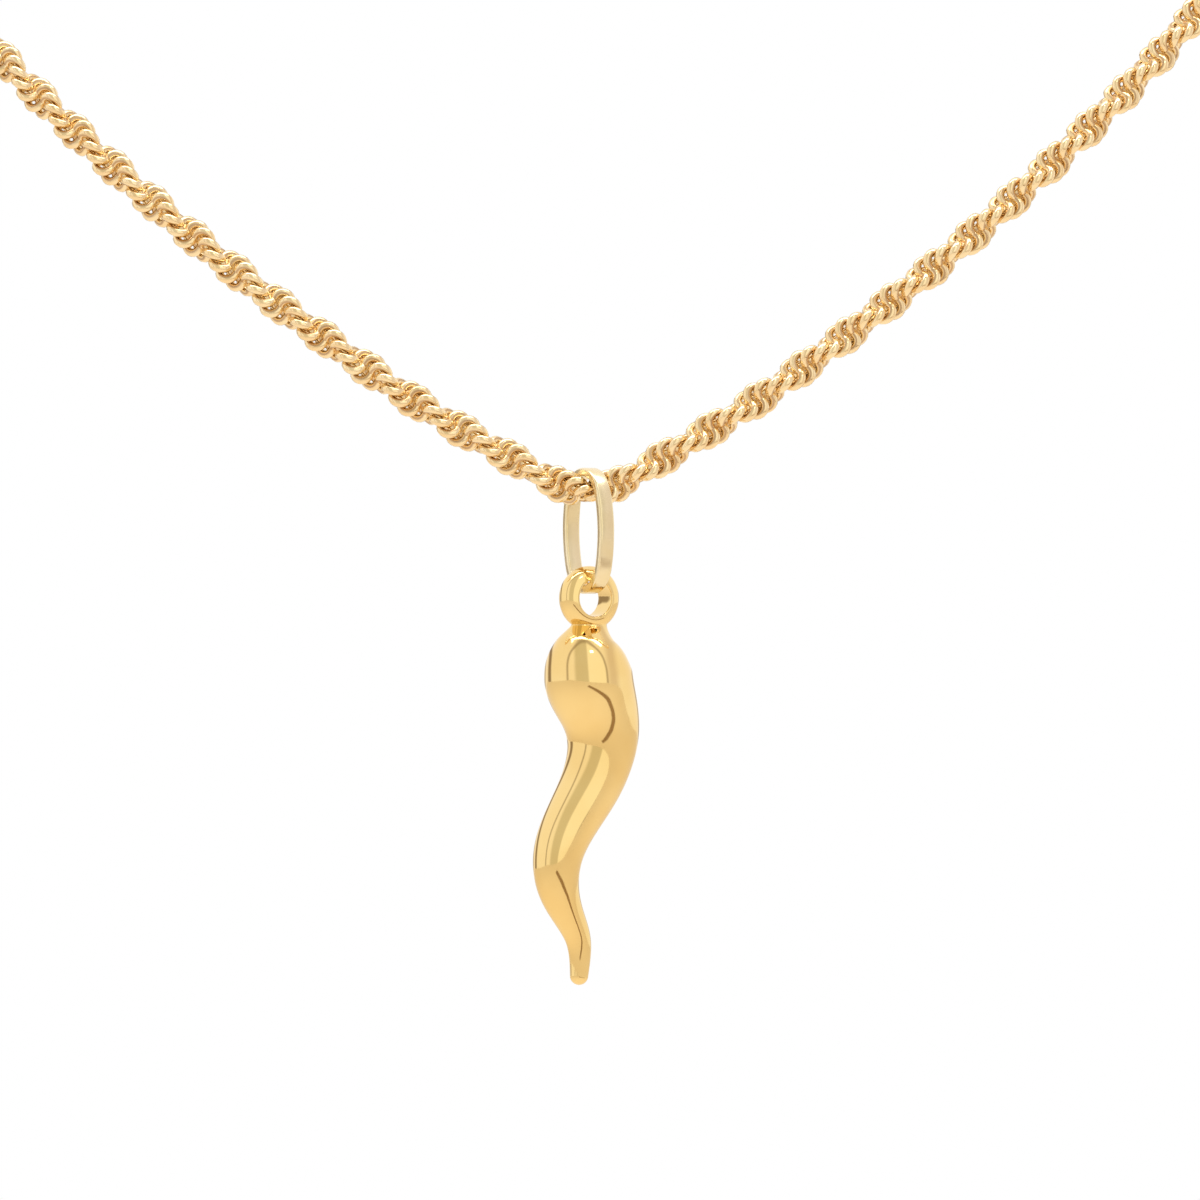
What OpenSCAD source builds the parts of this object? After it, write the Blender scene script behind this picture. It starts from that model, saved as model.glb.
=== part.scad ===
// A gold horn, or chili pepper, hanging from a bail on a rope chain.
// Millimetres, +Z up. The chain is a whole necklace: its clasp lies at the nape, which is the
// origin, and the front of the neck faces -Y. The pendant hangs at the chain's lowest point.

/* [Horn] */
// Length from the centre of the eye's hole to the tip
horn_length = 19.3; // [14:0.1:26]
// Radius of the hole in the eye
eye_hole_r = 0.92; // [0.8:0.01:1.1]
// Radius of the eye's half-round band
eye_band_r = 0.7; // [0.5:0.01:0.8]
// Sides of the horn's sections
horn_sides = 36; // [24:4:40]

/* [Bail] */
// Height of the bail over its ends
bail_height = 6.3; // [6:0.1:7.5]
// Depth of the bail, from its front limb to its back limb
bail_depth = 3.9; // [3.7:0.1:4.5]
// Width of the bail's strip
strip_width = 0.8; // [0.5:0.05:0.9]
// Thickness of the bail's strip
strip_thickness = 0.42; // [0.3:0.02:0.46]
// Turn of the bail and the horn on the chain, in degrees
pendant_turn = 30; // [0:1:35]

/* [Chain] */
// Diameter of the rope chain, measured between its lobes and its waists
rope_d = 1.4; // [1:0.05:1.5]
// Sides of the chain's tube
rope_sides = 8; // [8:2:12]

/* [Clasp] */
// Largest diameter of the barrel clasp
clasp_d = 2.6; // [2:0.1:4]
// Length of the barrel clasp
clasp_length = 9; // [7:0.5:12]

/* [Hidden] */
$fn = 96;

// Half of the chain's route as [x, y, z], from the lowest point in front to the clasp behind
ROUTE = [
    [0, -115, -120],
    [1, -115, -119.84],
    [2, -115, -119.37],
    [3.5, -115, -118.53],
    [10, -114.5, -114.5],
    [20, -112.3, -106.8],
    [30, -108.2, -97.2],
    [39, -102, -86],
    [47, -93, -73],
    [53, -82, -59.5],
    [56.5, -69.5, -46],
    [57.5, -56, -33.5],
    [55.5, -42.5, -22],
    [50, -29.5, -12.5],
    [41, -17.5, -6],
    [29.5, -8, -2],
    [17, -2, 0],
    [4.6, 0, 0]
];
ROUTE_STEPS = 2;

// The horn's sections as [below the eye's centre, sideways offset, half width, half depth]
SECTIONS = [
    [1.00, 0.00, 1.02, 0.66],
    [1.40, -0.03, 1.02, 0.74],
    [1.65, -0.10, 1.04, 0.98],
    [2.00, -0.17, 1.36, 1.36],
    [2.50, -0.19, 1.80, 1.80],
    [3.20, -0.18, 2.11, 2.11],
    [4.10, -0.09, 2.27, 2.27],
    [5.00, 0.26, 2.12, 2.12],
    [6.00, 0.66, 1.93, 1.93],
    [7.10, 0.76, 1.79, 1.79],
    [8.20, 0.52, 1.65, 1.65],
    [9.30, 0.05, 1.55, 1.55],
    [10.40, -0.66, 1.44, 1.44],
    [11.50, -1.40, 1.35, 1.35],
    [12.60, -1.92, 1.27, 1.27],
    [13.70, -2.05, 1.16, 1.16],
    [14.80, -1.87, 1.00, 1.00],
    [15.90, -1.32, 0.78, 0.78],
    [16.90, -0.76, 0.65, 0.65],
    [17.90, -0.68, 0.54, 0.54],
    [18.85, -0.76, 0.46, 0.46]
];
SECTIONS_LENGTH = 19.3;
SECTION_STEPS = 3;
TIP_RINGS = 5;

// Air that the chain keeps from the bail and the clasp
gap = 0.1;
// Air between the round hole of the eye and the corners of the bail's strip
eye_gap = 0.16;

lowest = ROUTE[0];
clasp_face_x = ROUTE[len(ROUTE) - 1][0];
horn_scale = horn_length / SECTIONS_LENGTH;

// The bail's ends are arcs, and its bowed sides are arcs that meet them smoothly
bail_a = bail_depth / 2;
bail_h = bail_height / 2;
bail_end_r = bail_a - 0.2;
bail_side_r = (bail_a * bail_a + pow(bail_h - bail_end_r, 2) - bail_end_r * bail_end_r)
    / (2 * (bail_a - bail_end_r));
bail_end_z = bail_h - bail_end_r;
bail_side_x = bail_side_r - bail_a;

// The bail's inner end rests just over the chain, and the eye hangs on the bail's lower end
rope_top = rope_d / 2 * cos(180 / rope_sides);
bail_top = lowest.z + rope_top + gap + strip_thickness;
bail_middle = bail_top - bail_h;
strip_centre = bail_middle - bail_h + strip_thickness / 2;
// Where the strip's upper corners come to rest in the round hole of the eye
corner_drop = sqrt(pow(eye_hole_r - eye_gap, 2) - pow(strip_width / 2, 2)) - strip_thickness / 2;
eye_centre = strip_centre - corner_drop;

function unit(v) = v / norm(v);

// A smooth curve through p1 and p2, with p0 and p3 beside them
function through(p0, p1, p2, p3, t) =
    0.5 * (2 * p1 + (p2 - p0) * t + (2 * p0 - 5 * p1 + 4 * p2 - p3) * t * t
    + (3 * p1 - p0 - 3 * p2 + p3) * t * t * t);

// A smooth curve drawn towards p1 and p2, which changes its bend evenly
function along(p0, p1, p2, p3, t) =
    (pow(1 - t, 3) * p0 + (3 * pow(t, 3) - 6 * t * t + 4) * p1
    + (-3 * pow(t, 3) + 3 * t * t + 3 * t + 1) * p2 + pow(t, 3) * p3) / 6;

function mirrored(p) = [-p.x, p.y, p.z];

function half_route(points) = let (n = len(points)) [
    for (i = [0:n - 2], k = [0:ROUTE_STEPS - 1])
        through(
            i == 0 ? mirrored(points[1]) : points[i - 1],
            points[i],
            points[i + 1],
            i == n - 2 ? 2 * points[n - 1] - points[n - 2] : points[i + 2],
            k / ROUTE_STEPS),
    points[n - 1]
];

function whole_route(half) = concat(
    [for (i = [len(half) - 1:-1:1]) mirrored(half[i])],
    half
);

function tangent(points, i) =
    unit(points[min(i + 1, len(points) - 1)] - points[max(i - 1, 0)]);

// A ring of points around p, square to the direction t, that stays level towards the neck
function tube_ring(p, t, r, sides) =
    let (side = unit(cross(t, unit([p.x, p.y + 55, 60]))), up = cross(side, t))
    [for (k = [0:sides - 1]) let (a = 360 * (k + 0.5) / sides) p + r * (cos(a) * side + sin(a) * up)];

// Faces of a closed body swept through rings of the same number of points
function sweep_faces(rings, sides) = concat(
    [[for (k = [sides - 1:-1:0]) k]],
    [for (i = [0:rings - 2], k = [0:sides - 1])
        let (a = i * sides + k, b = i * sides + (k + 1) % sides)
        [a, b, b + sides, a + sides]],
    [[for (k = [0:sides - 1]) (rings - 1) * sides + k]]
);

module swept(rings) {
    sides = len(rings[0]);
    polyhedron(
        points = [for (ring = rings) each ring],
        faces = sweep_faces(len(rings), sides),
        convexity = 8);
}

// The horn's rows, with one more beyond each end so that the curve reaches the first and last
function horn_rows() = let (n = len(SECTIONS)) concat(
    [2 * SECTIONS[0] - SECTIONS[1]],
    SECTIONS,
    [2 * SECTIONS[n - 1] - SECTIONS[n - 2]]
);

function horn_curve() = let (rows = horn_rows(), n = len(rows)) [
    for (i = [1:n - 3], k = [0:SECTION_STEPS - 1])
        along(rows[i - 1], rows[i], rows[i + 1], rows[min(i + 2, n - 1)], k / SECTION_STEPS),
    rows[n - 2]
];

// One section of the horn: an oval square to the direction of its middle line
function horn_ring(row, lean) = [
    for (k = [0:horn_sides - 1]) let (a = 360 * k / horn_sides)
        horn_scale * [
            row[1] + row[2] * cos(a) * cos(lean),
            row[3] * sin(a),
            -row[0] - row[2] * cos(a) * sin(lean)
        ]
];

function horn_lean(curve, i) =
    let (a = curve[max(i - 1, 0)], b = curve[min(i + 1, len(curve) - 1)])
    i == 0 ? 0 : atan2(a[1] - b[1], b[0] - a[0]);

// The rounded tip, as rings that shrink along a quarter circle
function tip_rings(row, lean) = [
    for (k = [1:TIP_RINGS])
        let (a = 84 * k / TIP_RINGS, r = row[2] * cos(a), out = row[2] * sin(a))
        horn_ring([row[0] + out * cos(lean), row[1] - out * sin(lean), r, r], lean)
];

module horn_body() {
    curve = horn_curve();
    last = len(curve) - 1;
    end_lean = horn_lean(curve, last);
    swept(concat(
        [for (i = [0:last]) horn_ring(curve[i], horn_lean(curve, i))],
        tip_rings(curve[last], end_lean)));
}

// The cast eye: a band with a half-round outside and a plain drilled hole, open front to back
module eye() {
    rotate([90, 0, 0])
        rotate_extrude($fn = 48)
            intersection() {
                translate([eye_hole_r, 0])
                    circle(r = eye_band_r, $fn = 48);
                translate([eye_hole_r, -eye_band_r])
                    square([eye_band_r, 2 * eye_band_r]);
            }
}

// Places what is drawn around the eye's centre, or the bail's middle, on the chain
module on_chain(height) {
    translate([lowest.x, lowest.y, height])
        rotate([0, 0, pendant_turn])
            children();
}

// The bail's outline, with its arcs moved inwards by inset
module bail_outline(inset) {
    side_r = bail_side_r - inset;
    end_r = bail_end_r - inset;
    meet_z = bail_end_z * bail_side_r / (bail_side_r - bail_end_r);
    meet_in = meet_z * side_r / bail_side_r;
    for (z = [-bail_end_z, bail_end_z])
        translate([0, z])
            circle(r = end_r);
    intersection() {
        translate([-bail_side_x, 0])
            circle(r = side_r, $fn = 240);
        translate([bail_side_x, 0])
            circle(r = side_r, $fn = 240);
        translate([-bail_depth, -meet_in])
            square([2 * bail_depth, 2 * meet_in]);
    }
}

module horn() {
    color("goldenrod")
        on_chain(eye_centre)
            union() {
                eye();
                horn_body();
            }
}

module bail() {
    color("palegoldenrod")
        on_chain(bail_middle)
            rotate([90, 0, 90])
                translate([0, 0, -strip_width / 2])
                    linear_extrude(height = strip_width)
                        difference() {
                            bail_outline(0);
                            bail_outline(strip_thickness);
                        }
}

module chain() {
    route = whole_route(half_route(ROUTE));
    color("darkgoldenrod")
        swept([for (i = [0:len(route) - 1])
            tube_ring(route[i], tangent(route, i), rope_d / 2, rope_sides)]);
}

// A barrel with gently bowed sides, in place of the fastener that the neck hides
module clasp() {
    half = min(clasp_length / 2, clasp_face_x - gap);
    bow = 0.35;
    bow_r = (half * half + bow * bow) / (2 * bow);
    color("gold")
        rotate([0, 90, 0])
            rotate_extrude()
                intersection() {
                    translate([clasp_d / 2 - bow_r, 0])
                        circle(r = bow_r, $fn = 360);
                    translate([0, -half])
                        square([clasp_d, 2 * half]);
                }
}

horn();
bail();
chain();
clasp();
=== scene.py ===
# %% [markdown]
# # A gold horn on a rope chain
# This lesson dresses a small piece of jewellery: a polished horn, or chili pepper, that hangs
# from a flat bail on a two-strand rope chain. The solids of the pieces, their places and their
# joints come from the frame. Everything here is in metres, in the same space as the frame, so a
# piece that is built from the same sizes lands in its place with no fitting.

# %% Load the frame
import math

import bmesh
import bpy
import numpy as np
from mathutils import Matrix, Vector


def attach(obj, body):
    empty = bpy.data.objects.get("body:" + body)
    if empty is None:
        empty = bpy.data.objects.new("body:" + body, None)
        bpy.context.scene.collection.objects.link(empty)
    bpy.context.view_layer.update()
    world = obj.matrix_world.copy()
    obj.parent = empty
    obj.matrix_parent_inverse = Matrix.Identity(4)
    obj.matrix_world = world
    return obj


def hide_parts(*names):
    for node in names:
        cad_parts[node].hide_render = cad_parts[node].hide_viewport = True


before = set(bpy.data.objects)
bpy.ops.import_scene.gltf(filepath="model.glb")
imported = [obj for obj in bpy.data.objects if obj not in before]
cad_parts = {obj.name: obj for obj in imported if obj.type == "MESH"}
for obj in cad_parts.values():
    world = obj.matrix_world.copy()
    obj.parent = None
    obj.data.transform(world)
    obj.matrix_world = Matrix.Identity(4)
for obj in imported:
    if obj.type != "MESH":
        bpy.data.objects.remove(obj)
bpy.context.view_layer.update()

MM = 0.001

# %% [markdown]
# ## The camera
# Jewellery is photographed from well back with a long lens, so that near and far parts keep
# their true sizes. The camera stands level in front of the pendant and looks along +Y. The
# picture is 60 mm wide at the pendant, and its middle lies a little below the chain.

# %% The sizes that every piece shares
LOWEST = Vector((0, -115, -120)) * MM
PENDANT_TURN = math.radians(30)
PICTURE_WIDTH = 60 * MM
CAMERA_DISTANCE = 400 * MM
CAMERA_ROLL = math.radians(0.5)
SENSOR = 36
AIM = LOWEST + Vector((0.55, 0, -5.45)) * MM

# %% Place the camera
lens = bpy.data.cameras.new("camera_lens")
lens.sensor_width = SENSOR
lens.lens = SENSOR * CAMERA_DISTANCE / PICTURE_WIDTH
lens.clip_start = 0.01
lens.clip_end = 20
camera = bpy.data.objects.new("camera", lens)
bpy.context.scene.collection.objects.link(camera)
camera.location = AIM - Vector((0, CAMERA_DISTANCE, 0))
camera.rotation_euler = (math.radians(90), CAMERA_ROLL, 0)
bpy.context.scene.camera = camera
print("lens %.0f mm" % lens.lens)

# %% [markdown]
# ## The studio
# Polished gold has no look of its own: it shows what stands around it. A white tent gives the
# pale fields, a warm pale floor gives the peach tone of the faces that look down, and the
# camera and the gap in the tent give the few narrow brown streaks. The tent is the world's
# own shader. What the camera sees behind the piece stays plain white.

# %% A small helper that builds shader nodes
class Nodes:
    """Adds nodes to one tree, from left to right, and links them by name."""

    def __init__(self, tree):
        self.tree = tree
        self.column = 0

    def add(self, kind, inputs=None, **settings):
        node = self.tree.nodes.new(kind)
        node.location = (self.column, 0)
        self.column += 180
        for name, value in settings.items():
            setattr(node, name, value)
        for name, value in (inputs or {}).items():
            socket = node.inputs[name]
            if isinstance(value, bpy.types.NodeSocket):
                self.tree.links.new(value, socket)
            else:
                socket.default_value = value
        return node

    def math(self, operation, a, b=0.0, clamp=False):
        return self.add("ShaderNodeMath", {0: a, 1: b}, operation=operation, use_clamp=clamp).outputs[0]

    def smooth(self, value, low, high):
        """0 below low, 1 above high and a soft step between them."""
        node = self.add("ShaderNodeMapRange", {0: value, 1: low, 2: high}, interpolation_type="SMOOTHSTEP")
        return node.outputs[0]

    def mix(self, share, a, b, blend="MIX"):
        node = self.add("ShaderNodeMix", data_type="RGBA", blend_type=blend)
        for socket, value in ((node.inputs[0], share), (node.inputs[6], a), (node.inputs[7], b)):
            if isinstance(value, bpy.types.NodeSocket):
                self.tree.links.new(value, socket)
            else:
                socket.default_value = value
        return node.outputs[2]


# %% The tent
TENT_WHITE = (1.04, 1.00, 0.96, 1)
TENT_RIGHT = (0.82, 0.74, 0.70, 1)
ROOM_DIM = (0.74, 0.70, 0.60, 1)
ROOM_LIT = (1.10, 1.07, 0.99, 1)
GAP_BROWN = (0.16, 0.09, 0.04, 1)
DOOR_SIDE = 0.445
DOOR_TOP = 0.47


def band(n, value, middle, half_width, softness):
    """1 where value lies within half_width of middle, with soft ends."""
    off = n.math("ABSOLUTE", n.math("SUBTRACT", value, middle))
    return n.math("SUBTRACT", 1.0, n.smooth(off, half_width - softness, half_width + softness))


def make_tent():
    world = bpy.data.worlds.new("tent")
    world.use_nodes = True
    world.node_tree.nodes.clear()
    n = Nodes(world.node_tree)
    way = n.add("ShaderNodeTexCoord").outputs["Generated"]
    axes = n.add("ShaderNodeSeparateXYZ", {0: way})
    x, y, z = axes.outputs
    # Where a mirror ball in front of the camera would show this direction, -1 to 1 both ways
    spread = n.math("MAXIMUM", n.math("SUBTRACT", 2.0, n.math("MULTIPLY", y, 2.0)), 0.0005)
    size = n.math("SQRT", spread)
    across = n.math("DIVIDE", x, size)
    up = n.math("DIVIDE", z, size)
    # The tent's open door: an arch round the camera, with a thin dark hem and the room beyond
    rise = n.math("MAXIMUM", n.math("SUBTRACT", up, 0.15), 0.0)
    wide = n.math("POWER", n.math("DIVIDE", n.math("ADD", across, 0.02), DOOR_SIDE), 2.0)
    arch = n.math("SQRT", n.math("ADD", wide, n.math("POWER", n.math("DIVIDE", rise, DOOR_TOP), 2.0)))
    room = n.mix(n.smooth(across, -0.01, 0.04), ROOM_DIM, ROOM_LIT)
    room = n.mix(n.smooth(across, -0.24, -0.34), room, TENT_WHITE)
    tent = n.mix(band(n, across, 0.56, 0.10, 0.08), TENT_WHITE, TENT_RIGHT)
    tent = n.mix(n.smooth(arch, 1.02, 0.97), tent, room)
    tent = n.mix(n.math("MULTIPLY", band(n, arch, 1.0, 0.05, 0.04), 0.55), tent, GAP_BROWN)
    # The dark gap behind at the left, and the thin dark line that rims every polished edge
    gap = n.math("MULTIPLY", band(n, across, -0.875, 0.035, 0.02), 0.8)
    rim = n.math("MULTIPLY", band(n, n.math("ABSOLUTE", across), 0.978, 0.012, 0.010), 0.55)
    tent = n.mix(n.math("MAXIMUM", gap, rim), tent, GAP_BROWN)
    seen = n.add("ShaderNodeLightPath").outputs["Is Camera Ray"]
    shown = n.mix(seen, tent, (1, 1, 1, 1))
    glow = n.add("ShaderNodeBackground", {"Color": shown, "Strength": 1.0})
    n.add("ShaderNodeOutputWorld", {"Surface": glow.outputs[0]})
    bpy.context.scene.world = world
    return world


make_tent()
bpy.context.scene.view_settings.view_transform = "Standard"


# %% The soft lights and the floor
def soft_light(name, place, size, power, tint):
    data = bpy.data.lights.new(name, "AREA")
    data.shape = "RECTANGLE"
    data.size, data.size_y = size
    data.energy = power
    data.color = tint
    lamp = bpy.data.objects.new(name, data)
    bpy.context.scene.collection.objects.link(lamp)
    lamp.location = LOWEST + Vector(place)
    lamp.rotation_mode = "QUATERNION"
    lamp.rotation_quaternion = (LOWEST - lamp.location).to_track_quat("-Z", "Y")
    lamp.visible_camera = False
    return lamp


soft_light("softbox_top", (0.0, 0.03, 0.45), (0.60, 0.16), 1.1, (1.0, 0.98, 0.95))
soft_light("softbox_door", (0.115, -0.28, 0.40), (0.07, 0.05), 0.06, (1.0, 0.97, 0.92))

FLOOR_DROP = 200 * MM
FLOOR_SIDE = 3.6


def flat_card(name, corners, height, color):
    mesh = bpy.data.meshes.new(name)
    mesh.from_pydata([(x, y, LOWEST.z + height) for x, y in corners], [], [(0, 1, 2, 3)])
    card = bpy.data.objects.new(name, mesh)
    bpy.context.scene.collection.objects.link(card)
    material = bpy.data.materials.new(name + "_paper")
    material.use_nodes = True
    shader = material.node_tree.nodes["Principled BSDF"]
    shader.inputs["Base Color"].default_value = color
    shader.inputs["Roughness"].default_value = 0.85
    mesh.materials.append(material)
    return card


half = FLOOR_SIDE / 2
flat_card("floor", [(-half, -half), (half, -half), (half, half), (-half, half)], -FLOOR_DROP,
          (0.90, 0.84, 0.77, 1))
# A dark card lies in front at the right, for the streak along the horn. Only reflections show it,
# and it casts no shadow on the floor
streak_card = flat_card("streak_card", [(0.02, -0.98), (0.50, -0.24), (0.42, -0.20), (-0.06, -0.84)],
                        1 * MM - FLOOR_DROP, (0.30, 0.20, 0.12, 1))
streak_card.visible_camera = False
streak_card.visible_diffuse = False
streak_card.visible_shadow = False

# %% [markdown]
# ## Finishes
# All four pieces are the same alloy, but they were finished apart. The horn was tumbled and
# buffed to a mirror, with faint swirls left by the wheel. The bail is a paler strip with a
# drawn, slightly satin face. The chain's fine wires are bright outside, and a dark red-brown
# painted shade sits deep between them and on the flanks where the wires touch. The marks of the
# wheel and the faint waviness under them come from one node group, which each material uses
# with its own values.

# %% The group for marks of the polishing wheel
def make_wheel_marks():
    group = bpy.data.node_groups.new("Wheel marks", "ShaderNodeTree")
    face = group.interface
    for name, kind, value in (
        ("Coordinates", "NodeSocketVector", None),
        ("Roughness", "NodeSocketFloat", 0.1),
        ("Variation", "NodeSocketFloat", 0.05),
        ("Scale", "NodeSocketFloat", 900.0),
        ("Waviness", "NodeSocketFloat", 0.02),
    ):
        socket = face.new_socket(name=name, in_out="INPUT", socket_type=kind)
        if value is not None:
            socket.default_value = value
    face.new_socket(name="Roughness", in_out="OUTPUT", socket_type="NodeSocketFloat")
    face.new_socket(name="Tone", in_out="OUTPUT", socket_type="NodeSocketFloat")
    face.new_socket(name="Normal", in_out="OUTPUT", socket_type="NodeSocketVector")
    n = Nodes(group)
    given = n.add("NodeGroupInput").outputs
    broad = n.add("ShaderNodeTexNoise", {"Vector": given["Coordinates"], "Scale": given["Scale"], "Detail": 3.0})
    fine_scale = n.math("MULTIPLY", given["Scale"], 9.0)
    stretched = n.add("ShaderNodeMapping", {"Vector": given["Coordinates"], "Rotation": (0.5, 0.3, 0.9),
                                            "Scale": (1.0, 0.12, 1.0)})
    fine = n.add("ShaderNodeTexNoise", {"Vector": stretched.outputs[0], "Scale": fine_scale, "Detail": 2.0})
    blend = n.math("ADD", n.math("MULTIPLY", broad.outputs[0], 0.6), n.math("MULTIPLY", fine.outputs[0], 0.4))
    spread = n.math("MULTIPLY", n.math("SUBTRACT", blend, 0.5), given["Variation"])
    rough = n.math("ADD", given["Roughness"], spread, clamp=True)
    bump = n.add("ShaderNodeBump", {"Strength": given["Waviness"], "Distance": 0.0004, "Height": broad.outputs[0]})
    n.add("NodeGroupOutput", {"Roughness": rough, "Tone": broad.outputs[0], "Normal": bump.outputs[0]})
    return group


wheel_marks = make_wheel_marks()


# %% A gold with the wheel's marks
def gold(name, pale, deep, roughness, variation, scale, waviness, rope=False):
    """Polished gold between two tones. On the rope, painted shade darkens what lies deep between the strands and on the
    wires' touching flanks.
    """
    material = bpy.data.materials.new(name)
    material.use_nodes = True
    material.node_tree.nodes.clear()
    n = Nodes(material.node_tree)
    where = n.add("ShaderNodeTexCoord").outputs["Object"]
    marks = n.add("ShaderNodeGroup", node_tree=wheel_marks)
    values = {"Coordinates": where, "Roughness": roughness, "Variation": variation, "Scale": scale,
              "Waviness": waviness}
    for socket_name, value in values.items():
        socket = marks.inputs[socket_name]
        if isinstance(value, bpy.types.NodeSocket):
            material.node_tree.links.new(value, socket)
        else:
            socket.default_value = value
    tone = n.smooth(marks.outputs["Tone"], 0.35, 0.65)
    color = n.mix(tone, deep, pale)
    rough = marks.outputs["Roughness"]
    if rope:
        # Painted shade: a dark red-brown laid into the colour deep between the strands and on the wires' touching
        # flanks, with a rougher finish there
        painted_groove_shade = n.add("ShaderNodeAttribute", attribute_name="groove_shade_mask").outputs["Fac"]
        flank_shade_mask = n.add("ShaderNodeAttribute", attribute_name="flank_shade_mask").outputs["Fac"]
        between = n.math("MULTIPLY", n.smooth(flank_shade_mask, 0.80, 1.0), 0.6)
        depth = n.math("MAXIMUM", painted_groove_shade, between)
        color = n.mix(depth, color, (0.30, 0.10, 0.03, 1))
        rough = n.math("ADD", rough, n.math("MULTIPLY", depth, 0.25), clamp=True)
    shader = n.add("ShaderNodeBsdfPrincipled", {"Base Color": color, "Metallic": 1.0, "Roughness": rough,
                                                "Normal": marks.outputs["Normal"]})
    n.add("ShaderNodeOutputMaterial", {"Surface": shader.outputs[0]})
    return material


polished_gold = gold("polished_gold", (0.93, 0.70, 0.31, 1), (0.89, 0.64, 0.26, 1), 0.07, 0.05, 260.0, 0.05)
pale_gold = gold("pale_gold", (0.93, 0.81, 0.55, 1), (0.88, 0.74, 0.45, 1), 0.22, 0.12, 500.0, 0.10)
rope_gold = gold("rope_gold", (0.97, 0.79, 0.49, 1), (0.93, 0.71, 0.40, 1), 0.14, 0.08, 900.0, 0.03, rope=True)
clasp_gold = gold("clasp_gold", (0.92, 0.70, 0.36, 1), (0.88, 0.63, 0.29, 1), 0.14, 0.08, 400.0, 0.05)
print("finishes:", [m.name for m in bpy.data.materials])


# %% [markdown]
# ## The horn
# The horn is one casting with the small eye on its head. It is long and bends twice, so it is
# built as a row of round sections along a bent middle line. A short table holds the sections,
# the same as the solid's, and a curve that changes its bend evenly runs through it. A mirror
# finish shows every kink of the surface, and this curve has none.

# %% Shared mesh helpers
def mesh_piece(name, points, faces, material):
    mesh = bpy.data.meshes.new(name)
    mesh.from_pydata([tuple(p) for p in points], [], faces)
    piece = bpy.data.objects.new(name, mesh)
    bpy.context.scene.collection.objects.link(piece)
    mesh.materials.append(material)
    mesh.shade_smooth()
    return piece


def turn_outwards(piece):
    """Merges doubled points and turns every face outwards."""
    work = bmesh.new()
    work.from_mesh(piece.data)
    bmesh.ops.remove_doubles(work, verts=work.verts, dist=0.0005 * MM)
    bmesh.ops.recalc_face_normals(work, faces=work.faces)
    work.to_mesh(piece.data)
    work.free()


def ring_faces(rings, sides, closed=False):
    """Quads between rings of the same number of points. closed joins the last ring to the first."""
    faces = []
    for i in range(rings if closed else rings - 1):
        a, b = i * sides, (i + 1) % rings * sides
        faces += [(a + k, a + (k + 1) % sides, b + (k + 1) % sides, b + k) for k in range(sides)]
    return faces


def on_chain(points, height):
    """Turns points on the chain's plumb line and lifts them to their height."""
    turn = np.array(Matrix.Rotation(PENDANT_TURN, 3, "Z"))
    return np.asarray(points) @ turn.T + np.array((LOWEST.x, LOWEST.y, height))


# %% Where the bail and the eye hang, worked out as the solids' places are
ROPE_D = 1.4 * MM
ROPE_SIDES = 8
BAIL_HEIGHT = 6.3 * MM
BAIL_DEPTH = 3.9 * MM
STRIP_WIDTH = 0.8 * MM
STRIP_THICKNESS = 0.42 * MM
EYE_HOLE_R = 0.92 * MM
EYE_BAND_R = 0.7 * MM
CHAIN_GAP = 0.1 * MM
EYE_GAP = 0.16 * MM

rope_top = ROPE_D / 2 * math.cos(math.pi / ROPE_SIDES)
bail_middle = LOWEST.z + rope_top + CHAIN_GAP + STRIP_THICKNESS - BAIL_HEIGHT / 2
strip_centre = bail_middle - BAIL_HEIGHT / 2 + STRIP_THICKNESS / 2
corner_drop = math.sqrt((EYE_HOLE_R - EYE_GAP) ** 2 - (STRIP_WIDTH / 2) ** 2) - STRIP_THICKNESS / 2
eye_centre = strip_centre - corner_drop
print("eye centre at %.3f mm" % (eye_centre / MM))

# %% The table of sections and the curve through it
# Below the eye's centre, sideways offset, half width and half depth, in millimetres
SECTIONS = np.array([
    (1.00, 0.00, 1.02, 0.66),
    (1.40, -0.03, 1.02, 0.74),
    (1.65, -0.10, 1.04, 0.98),
    (2.00, -0.17, 1.36, 1.36),
    (2.50, -0.19, 1.80, 1.80),
    (3.20, -0.18, 2.11, 2.11),
    (4.10, -0.09, 2.27, 2.27),
    (5.00, 0.26, 2.12, 2.12),
    (6.00, 0.66, 1.93, 1.93),
    (7.10, 0.76, 1.79, 1.79),
    (8.20, 0.52, 1.65, 1.65),
    (9.30, 0.05, 1.55, 1.55),
    (10.40, -0.66, 1.44, 1.44),
    (11.50, -1.40, 1.35, 1.35),
    (12.60, -1.92, 1.27, 1.27),
    (13.70, -2.05, 1.16, 1.16),
    (14.80, -1.87, 1.00, 1.00),
    (15.90, -1.32, 0.78, 0.78),
    (16.90, -0.76, 0.65, 0.65),
    (17.90, -0.68, 0.54, 0.54),
    (18.85, -0.76, 0.46, 0.46),
]) * MM
HORN_STEPS = 10
HORN_SIDES = 80
TIP_RINGS = 10


def along(rows, i, t):
    """The evenly bending curve between rows i and i + 1."""
    a, b, c, d = rows[i - 1], rows[i], rows[i + 1], rows[min(i + 2, len(rows) - 1)]
    return ((1 - t) ** 3 * a + (3 * t ** 3 - 6 * t * t + 4) * b
            + (-3 * t ** 3 + 3 * t * t + 3 * t + 1) * c + t ** 3 * d) / 6


def horn_curve():
    rows = np.vstack([2 * SECTIONS[0] - SECTIONS[1], SECTIONS, 2 * SECTIONS[-1] - SECTIONS[-2]])
    spans = range(1, len(rows) - 2)
    curve = [along(rows, i, k / HORN_STEPS) for i in spans for k in range(HORN_STEPS)]
    return np.array(curve + [rows[-2]])


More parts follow.
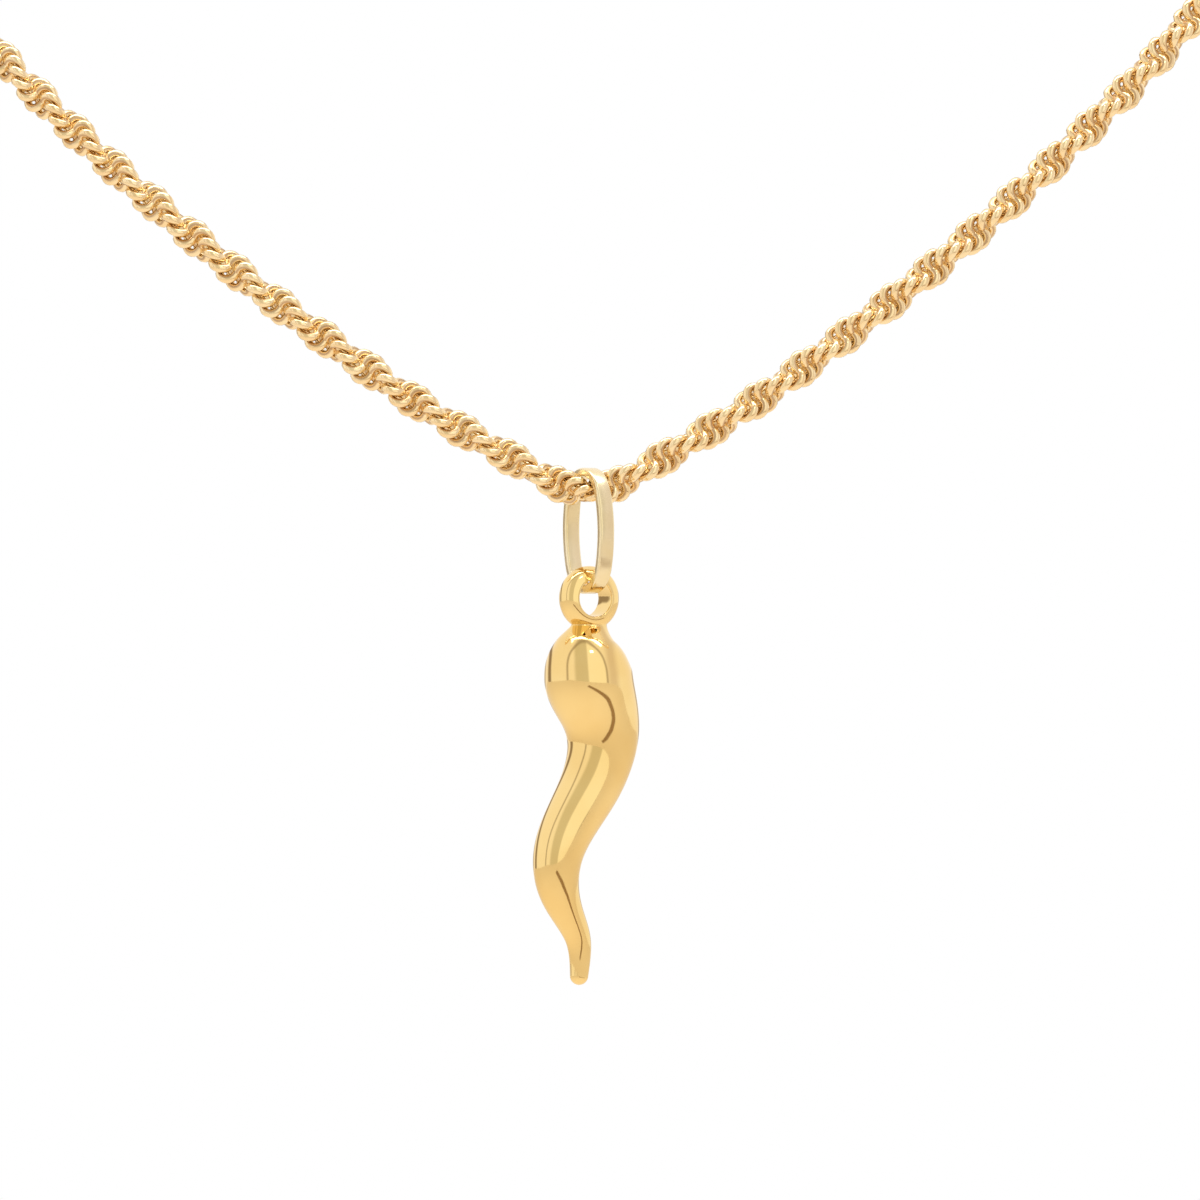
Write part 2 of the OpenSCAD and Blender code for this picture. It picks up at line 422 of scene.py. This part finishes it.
# %% [markdown]
# The eye is a half-round band, drilled through from front to back, with the drill's edge just
# broken. It is a lathe form: one profile, turned about the hole's axis. The two are one casting,
# so the head's collar begins on the band itself: its first ring lies on the band's surface and
# leaves it in the surface's own direction, and so no seam shows.

# %% The eye's ring
EDGE_BREAK = 0.06 * MM
EYE_SIDES = 96
EYE_ARC = 24
EDGE_ARC = 5
EYE_WALL = 4


def eye_profile():
    """The band's half-round section as (distance from the hole's axis, place along it)."""
    ends = EYE_BAND_R - EDGE_BREAK
    profile = [(EYE_HOLE_R, z) for z in np.linspace(-ends, ends, EYE_WALL)]
    for k in range(1, EDGE_ARC + 1):
        turn = math.pi / 2 * k / EDGE_ARC
        profile.append((EYE_HOLE_R + EDGE_BREAK * (1 - math.cos(turn)), ends + EDGE_BREAK * math.sin(turn)))
    start = math.asin(EDGE_BREAK / EYE_BAND_R)
    for turn in np.linspace(start, math.pi - start, EYE_ARC)[1:-1]:
        profile.append((EYE_HOLE_R + EYE_BAND_R * math.sin(turn), EYE_BAND_R * math.cos(turn)))
    for k in range(EDGE_ARC, 0, -1):
        turn = math.pi / 2 * k / EDGE_ARC
        profile.append((EYE_HOLE_R + EDGE_BREAK * (1 - math.cos(turn)), -ends - EDGE_BREAK * math.sin(turn)))
    return np.array(profile)


def eye_points():
    profile = eye_profile()
    rings = []
    for k in range(EYE_SIDES):
        turn = 2 * math.pi * k / EYE_SIDES
        r, y = profile[:, 0], profile[:, 1]
        rings.append(np.column_stack([r * math.cos(turn), y, r * math.sin(turn)]))
    return np.vstack(rings), ring_faces(EYE_SIDES, len(profile), closed=True)


# %% The horn's sections
def horn_ring(row, lean):
    down, side, half_width, half_depth = row
    turn = 2 * math.pi * np.arange(HORN_SIDES) / HORN_SIDES
    across = half_width * np.cos(turn)
    return np.column_stack([
        side + across * math.cos(lean),
        half_depth * np.sin(turn),
        -down - across * math.sin(lean),
    ])


def horn_lean(curve, i):
    if i == 0:
        return 0.0
    a, b = curve[i - 1], curve[min(i + 1, len(curve) - 1)]
    return math.atan2(a[1] - b[1], b[0] - a[0])


# %% The collar, from the band's surface to the head
COLLAR_SPREAD = math.radians(37)
COLLAR_WRAP = math.radians(58)
COLLAR_SINK = 0.012 * MM
COLLAR_END = 2.1 * MM
COLLAR_ROWS = 12
LEAVE_PULL = 0.30 * MM
MEET_PULL = 0.85 * MM


def collar_rings(end, beyond):
    """Rings from the band's surface to the ring end. beyond is the next ring of the head."""
    turn = 2 * math.pi * np.arange(HORN_SIDES) / HORN_SIDES
    round_hole, round_band = COLLAR_SPREAD * np.cos(turn), COLLAR_WRAP * np.sin(turn)
    thick = EYE_BAND_R - COLLAR_SINK
    far = EYE_HOLE_R + thick * np.cos(round_band)
    start = np.column_stack([far * np.sin(round_hole), thick * np.sin(round_band), -far * np.cos(round_hole)])
    along_hole = np.column_stack([far * np.cos(round_hole), 0 * turn, far * np.sin(round_hole)])
    along_band = np.column_stack([-np.sin(round_band) * np.sin(round_hole), np.cos(round_band),
                                  np.sin(round_band) * np.cos(round_hole)]) * thick
    leave = -(along_hole * round_hole[:, None] + along_band * round_band[:, None])
    leave *= LEAVE_PULL / np.linalg.norm(leave, axis=1)[:, None]
    meet = beyond - end
    meet *= MEET_PULL / np.linalg.norm(meet, axis=1)[:, None]
    rings = []
    for k in range(COLLAR_ROWS):
        t = k / COLLAR_ROWS
        rings.append((2 * t ** 3 - 3 * t * t + 1) * start + (t ** 3 - 2 * t * t + t) * leave
                     + (3 * t * t - 2 * t ** 3) * end + (t ** 3 - t * t) * meet)
    return rings


# %% The horn in one casting
def horn_piece():
    curve = horn_curve()
    curve_rings = [horn_ring(row, horn_lean(curve, i)) for i, row in enumerate(curve)]
    first = int(np.argmax(curve[:, 0] >= COLLAR_END))
    rings = collar_rings(curve_rings[first], curve_rings[first + 1]) + curve_rings[first:]
    lean = horn_lean(curve, len(curve) - 1)
    down, side, r, _ = curve[-1]
    for k in range(1, TIP_RINGS):
        turn = math.pi / 2 * k / TIP_RINGS
        out = r * math.sin(turn)
        small = r * math.cos(turn)
        rings.append(horn_ring((down + out * math.cos(lean), side - out * math.sin(lean), small, small), lean))
    tip = (side - r * math.sin(lean), 0, -down - r * math.cos(lean))
    root = (0, 0, -EYE_HOLE_R - EYE_BAND_R / 2)
    points = np.vstack(rings + [tip, root])
    faces = ring_faces(len(rings), HORN_SIDES)
    last = (len(rings) - 1) * HORN_SIDES
    for k in range(HORN_SIDES):
        beside = (k + 1) % HORN_SIDES
        faces.append((last + k, last + beside, len(points) - 2))
        faces.append((beside, k, len(points) - 1))
    band_points, band_faces = eye_points()
    faces += [tuple(i + len(points) for i in face) for face in band_faces]
    points = np.vstack([points, band_points])
    return mesh_piece("horn_polished", on_chain(points, eye_centre), faces, polished_gold)


horn = horn_piece()
turn_outwards(horn)
print("horn:", len(horn.data.polygons), "faces")
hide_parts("horn")
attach(horn, "horn")

# %% [markdown]
# ## The bail
# The bail is a flat strip, bent to an oval and soldered shut. Its edges are just rounded, and
# its long sides bow a little. Four arcs give the oval, and a rounded rectangle runs round them.

# %% The bail's oval path
STRIP_EDGE = 0.10 * MM
STRIP_EDGE_ARC = 4
BAIL_POINTS = 176


def bail_path():
    """Middle line of the strip and its outward directions, at even steps round four arcs."""
    a, h = BAIL_DEPTH / 2, BAIL_HEIGHT / 2
    end_r = a - 0.2 * MM
    side_r = (a * a + (h - end_r) ** 2 - end_r ** 2) / (2 * (a - end_r))
    end_z, side_y = h - end_r, side_r - a
    meet = math.atan2(end_z, side_y)
    mid_end, mid_side = end_r - STRIP_THICKNESS / 2, side_r - STRIP_THICKNESS / 2
    arcs = [
        ((-side_y, 0), mid_side, -meet, meet),
        ((0, end_z), mid_end, meet, math.pi - meet),
        ((side_y, 0), mid_side, math.pi - meet, math.pi + meet),
        ((0, -end_z), mid_end, math.pi + meet, 2 * math.pi - meet),
    ]
    whole = sum(r * (last - first) for _, r, first, last in arcs)
    path = []
    for (cy, cz), r, first, last in arcs:
        steps = max(8, round(BAIL_POINTS * r * (last - first) / whole))
        for k in range(steps):
            turn = first + (last - first) * k / steps
            path.append((cy + r * math.cos(turn), cz + r * math.sin(turn), math.cos(turn), math.sin(turn)))
    return np.array(path)


def strip_section():
    """A rounded rectangle as (across the strip, outwards), both from its middle."""
    half_w, half_t = STRIP_WIDTH / 2 - STRIP_EDGE, STRIP_THICKNESS / 2 - STRIP_EDGE
    section = []
    for corner, (sx, sy) in enumerate(((1, 1), (-1, 1), (-1, -1), (1, -1))):
        for k in range(STRIP_EDGE_ARC + 1):
            turn = math.pi / 2 * (corner + k / STRIP_EDGE_ARC)
            section.append((sx * half_w + STRIP_EDGE * math.cos(turn), sy * half_t + STRIP_EDGE * math.sin(turn)))
    return np.array(section)


# %% The bail's strip
def bail_piece():
    section = strip_section()
    rings = []
    for y, z, out_y, out_z in bail_path():
        across, out = section[:, 0], section[:, 1]
        rings.append(np.column_stack([across, y + out * out_y, z + out * out_z]))
    faces = ring_faces(len(rings), len(section), closed=True)
    return mesh_piece("bail_strip", on_chain(np.vstack(rings), bail_middle), faces, pale_gold)


bail = bail_piece()
turn_outwards(bail)
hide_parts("bail")
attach(bail, "bail")
print("bail:", len(bail.data.polygons), "faces")

# %% [markdown]
# ## The rope chain
# A rope chain is hundreds of small round rings. Each passes through the ones before it, and
# the whole winds into two strands that twist about each other. A person would never place
# them by hand: a rule does. Along the route, each ring sits a little way off the middle, its
# neighbour sits across from it, and both turn steadily. Geometry Nodes holds that rule, with
# the sizes as its inputs, so the wire, the twist and the number of rings can be changed alone.

# %% The route of the chain
# Half of the route in millimetres, from the lowest point in front to the clasp behind
ROUTE = np.array([
    (0, -115, -120),
    (1, -115, -119.84),
    (2, -115, -119.37),
    (3.5, -115, -118.53),
    (10, -114.5, -114.5),
    (20, -112.3, -106.8),
    (30, -108.2, -97.2),
    (39, -102, -86),
    (47, -93, -73),
    (53, -82, -59.5),
    (56.5, -69.5, -46),
    (57.5, -56, -33.5),
    (55.5, -42.5, -22),
    (50, -29.5, -12.5),
    (41, -17.5, -6),
    (29.5, -8, -2),
    (17, -2, 0),
    (4.6, 0, 0),
]) * MM
ROUTE_STEPS = 12
FRONT_HALF = 50 * MM
CLASP_INSET = 0.45 * MM


def through(p0, p1, p2, p3, t):
    return 0.5 * (2 * p1 + (p2 - p0) * t + (2 * p0 - 5 * p1 + 4 * p2 - p3) * t * t
                  + (3 * p1 - p0 - 3 * p2 + p3) * t ** 3)


def whole_route():
    ends = np.vstack([ROUTE[1] * (-1, 1, 1), ROUTE, 2 * ROUTE[-1] - ROUTE[-2]])
    half = [through(*ends[i:i + 4], k / ROUTE_STEPS) for i in range(len(ROUTE) - 1) for k in range(ROUTE_STEPS)]
    half = np.array(half + [ROUTE[-1]])
    return np.vstack([half[:0:-1] * (-1, 1, 1), half])


def even_stretch(route, first, last, step):
    """Points every step along the route, between two lengths measured from its lowest point."""
    run = np.concatenate([[0], np.cumsum(np.linalg.norm(np.diff(route, axis=0), axis=1))])
    run -= run[-1] / 2
    count = round((last - first) / step)
    marks = np.linspace(first, last, count + 1)
    return np.column_stack([np.interp(marks, run, route[:, axis]) for axis in range(3)])


route = whole_route()
route_length = np.linalg.norm(np.diff(route, axis=0), axis=1).sum()
print("chain length %.1f mm without the clasp" % (route_length / MM))

# %% The sizes of the rope
ROPE_TWIST = 5.6 * MM
RING_RISE = 0.26 * MM
RING_R = 0.44 * MM
WIRE_D = 0.44 * MM
STRAND_OFFSET = 0.26 * MM
RING_TILT = math.radians(74)
WAIST_TURN = math.radians(134)
LOOP_NORMAL = (0.0, 0.72, -0.69)


# %% A small helper that builds Geometry Nodes
def new_socket(tree, name, kind, value=None, output=False):
    socket = tree.interface.new_socket(name=name, in_out="OUTPUT" if output else "INPUT", socket_type=kind)
    if value is not None:
        socket.default_value = value
    return socket


class GeometryRule(Nodes):
    """Nodes with the few vector and number steps that a rule for placing rings needs."""

    def vector(self, operation, a, b=None, scale=None):
        inputs = {0: a}
        if b is not None:
            inputs[1] = b
        if scale is not None:
            inputs["Scale"] = scale
        node = self.add("ShaderNodeVectorMath", inputs, operation=operation)
        return node.outputs["Vector"]


# %% The rule for the rope
def make_rope_rule():
    tree = bpy.data.node_groups.new("Rope of rings", "GeometryNodeTree")
    new_socket(tree, "Route", "NodeSocketGeometry")
    names = ("First length", "Ring rise", "Twist", "Strand offset", "Ring radius", "Wire diameter", "Tilt", "Turn")
    for name in names:
        new_socket(tree, name, "NodeSocketFloat", 0.0)
    new_socket(tree, "Ring sides", "NodeSocketInt", 16)
    new_socket(tree, "Wire sides", "NodeSocketInt", 6)
    new_socket(tree, "Finish", "NodeSocketMaterial")
    new_socket(tree, "Rope", "NodeSocketGeometry", output=True)
    n = GeometryRule(tree)
    given = n.add("NodeGroupInput").outputs

    # The middle line, and how far along the whole chain each point lies
    line = n.add("GeometryNodeMeshToCurve", {0: given["Route"]}).outputs[0]
    tangent = n.add("GeometryNodeInputTangent").outputs[0]
    order = n.add("GeometryNodeInputIndex").outputs[0]
    run = n.math("ADD", given["First length"], n.math("MULTIPLY", order, given["Ring rise"]))
    odd = n.math("MODULO", order, 2.0)
    spin = n.math("MULTIPLY", n.math("DIVIDE", run, given["Twist"]), 2 * math.pi)
    turn = n.math("ADD", n.math("ADD", given["Turn"], spin), n.math("MULTIPLY", odd, math.pi))

    # Two directions square to the line, and the way out to this ring's strand
    level = n.vector("NORMALIZE", n.vector("CROSS_PRODUCT", tangent, LOOP_NORMAL))
    upright = n.vector("CROSS_PRODUCT", tangent, level)
    out = n.vector("ADD", n.vector("SCALE", level, scale=n.math("COSINE", turn)),
                   n.vector("SCALE", upright, scale=n.math("SINE", turn)))
    round_way = n.vector("CROSS_PRODUCT", tangent, out)
    ring_axis = n.vector("ADD", n.vector("SCALE", tangent, scale=n.math("COSINE", given["Tilt"])),
                         n.vector("SCALE", round_way, scale=n.math("SINE", given["Tilt"])))
    shift = n.vector("SCALE", out, scale=given["Strand offset"])

    # The values are kept on the points before the line is turned into them
    kept_shift = n.add("GeometryNodeCaptureAttribute", {"Geometry": line})
    kept_shift.capture_items.new("VECTOR", "shift")
    kept_shift.capture_items.new("VECTOR", "axis")
    tree.links.new(shift, kept_shift.inputs["shift"])
    tree.links.new(ring_axis, kept_shift.inputs["axis"])
    spots = n.add("GeometryNodeCurveToPoints", {0: kept_shift.outputs["Geometry"]}, mode="EVALUATED")
    placed = n.add("GeometryNodeSetPosition", {"Geometry": spots.outputs[0],
                                               "Offset": kept_shift.outputs["shift"]}).outputs[0]
    aligned = n.add("FunctionNodeAlignRotationToVector", {"Vector": kept_shift.outputs["axis"]}, axis="Z")

    # One ring of wire, turned once about its own axis
    circle = n.add("GeometryNodeCurvePrimitiveCircle", {"Resolution": given["Ring sides"],
                                                        "Radius": given["Ring radius"]})
    wire_r = n.math("DIVIDE", given["Wire diameter"], 2.0)
    section = n.add("GeometryNodeCurvePrimitiveCircle", {"Resolution": given["Wire sides"], "Radius": wire_r})
    # The wire's flanks, which touch the next ring, are marked so that the finish can paint shade on them
    place = n.add("ShaderNodeSeparateXYZ", {0: n.add("GeometryNodeInputPosition").outputs[0]})
    flank_shade_mask = n.math("DIVIDE", n.math("ABSOLUTE", place.outputs["Y"]), wire_r)
    marked = n.add("GeometryNodeStoreNamedAttribute", {"Geometry": section.outputs[0], "Name": "flank_shade_mask", "Value": flank_shade_mask},
                   data_type="FLOAT", domain="POINT")
    ring = n.add("GeometryNodeCurveToMesh", {"Curve": circle.outputs[0], "Profile Curve": marked.outputs[0]})
    rings = n.add("GeometryNodeInstanceOnPoints", {"Points": placed, "Instance": ring.outputs[0],
                                                   "Rotation": aligned.outputs[0]})
    real = n.add("GeometryNodeRealizeInstances", {0: rings.outputs[0]}).outputs[0]
    smooth = n.add("GeometryNodeSetShadeSmooth", {0: real}).outputs[0]
    finished = n.add("GeometryNodeSetMaterial", {"Geometry": smooth, "Material": given["Finish"]}).outputs[0]
    n.add("NodeGroupOutput", {"Rope": finished})
    return tree


rope_rule = make_rope_rule()


# %% Make the rope's front and back
def finished_mesh(piece):
    """Replaces a piece's mesh with what its modifiers make of it, and takes them off."""
    seen = piece.evaluated_get(bpy.context.evaluated_depsgraph_get())
    made = bpy.data.meshes.new_from_object(seen)
    piece.modifiers.clear()
    piece.data = made
    return piece


def set_input(modifier, tree, name, value):
    """Sets a modifier's input by its socket's own identifier."""
    found = next(s for s in tree.interface.items_tree if s.name == name and s.in_out == "INPUT")
    modifier[found.identifier] = value


def mark_groove_shade(piece, line):
    """Stores how deep each point lies between the strands, 1 at the middle and 0 at the outside, for the painted shade
    in the grooves.
    """
    from mathutils.kdtree import KDTree
    tree = KDTree(len(line))
    for i, p in enumerate(line):
        tree.insert(p, i)
    tree.balance()
    deep, shallow = 0.05 * MM, 0.28 * MM
    depths = []
    for v in piece.data.vertices:
        away = tree.find(v.co)[2]
        share = min(1.0, max(0.0, (shallow - away) / (shallow - deep)))
        depths.append(share * share * (3 - 2 * share))
    layer = piece.data.attributes.new("groove_shade_mask", "FLOAT", "POINT")
    layer.data.foreach_set("value", depths)


def rope_piece(name, first, last, ring_sides, wire_sides):
    line = even_stretch(route, first, last, RING_RISE)
    edges = [(i, i + 1) for i in range(len(line) - 1)]
    mesh = bpy.data.meshes.new(name)
    mesh.from_pydata([tuple(p) for p in line], edges, [])
    piece = bpy.data.objects.new(name, mesh)
    bpy.context.scene.collection.objects.link(piece)
    rule = piece.modifiers.new("rope", "NODES")
    rule.node_group = rope_rule
    sizes = {
        "First length": first, "Ring rise": (last - first) / (len(line) - 1), "Twist": ROPE_TWIST,
        "Strand offset": STRAND_OFFSET, "Ring radius": RING_R, "Wire diameter": WIRE_D, "Tilt": RING_TILT,
        "Turn": WAIST_TURN, "Ring sides": ring_sides, "Wire sides": wire_sides, "Finish": rope_gold,
    }
    for size_name, value in sizes.items():
        set_input(rule, rope_rule, size_name, value)
    finished_mesh(piece)
    mark_groove_shade(piece, even_stretch(route, first, last, RING_RISE / 2))
    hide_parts("chain")
    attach(piece, "necklace")
    print(name, len(line), "rings,", len(piece.data.polygons) * 2, "triangles")
    return piece


half_length = route_length / 2 - CLASP_INSET
rope_piece("rope_front", -FRONT_HALF, FRONT_HALF, 20, 8)
rope_piece("rope_left", -half_length, -FRONT_HALF - RING_RISE, 16, 6)
rope_piece("rope_right", FRONT_HALF + RING_RISE, half_length, 16, 6)

# %% [markdown]
# ## The clasp
# The fastener lies at the nape, where no picture shows it, so it is a plain turned barrel: one
# bowed profile, spun about the chain's line, with its edges broken.

# %% The barrel
CLASP_HALF = 4.5 * MM
CLASP_R = 1.3 * MM
CLASP_BOW = 0.35 * MM
CLASP_EDGE = 0.12 * MM
CLASP_SIDES = 64
CLASP_STEPS = 24


def clasp_profile():
    bow_r = (CLASP_HALF ** 2 + CLASP_BOW ** 2) / (2 * CLASP_BOW)
    end = CLASP_HALF - CLASP_EDGE
    bowed = [(x, CLASP_R - bow_r + math.sqrt(bow_r ** 2 - x * x)) for x in np.linspace(-end, end, CLASP_STEPS)]
    end_r = bowed[0][1] - CLASP_EDGE
    turns = [math.pi / 2 * k / 5 for k in range(5)]
    first = [(-end - CLASP_EDGE * math.cos(t), end_r + CLASP_EDGE * math.sin(t)) for t in turns]
    last = [(-x, r) for x, r in reversed(first)]
    return np.array(first + bowed + last)


def clasp_piece():
    profile = clasp_profile()
    turns = 2 * math.pi * np.arange(CLASP_SIDES) / CLASP_SIDES
    rings = [np.column_stack([np.full(CLASP_SIDES, x), r * np.cos(turns), r * np.sin(turns)]) for x, r in profile]
    faces = ring_faces(len(rings), CLASP_SIDES)
    faces.append(tuple(range(CLASP_SIDES)))
    faces.append(tuple((len(rings) - 1) * CLASP_SIDES + k for k in range(CLASP_SIDES)))
    return mesh_piece("clasp_barrel", np.vstack(rings), faces, clasp_gold)


clasp = clasp_piece()
turn_outwards(clasp)
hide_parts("clasp")
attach(clasp, "necklace")

# %% [markdown]
# ## Finish
# The frame's own material slots get the same finishes.

# %% Give the frame's parts the same finishes
FINISHES = {"horn": polished_gold, "bail": pale_gold, "chain": rope_gold, "clasp": clasp_gold}
for node_name, finish in FINISHES.items():
    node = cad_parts[node_name]
    node.data.materials.clear()
    node.data.materials.append(finish)
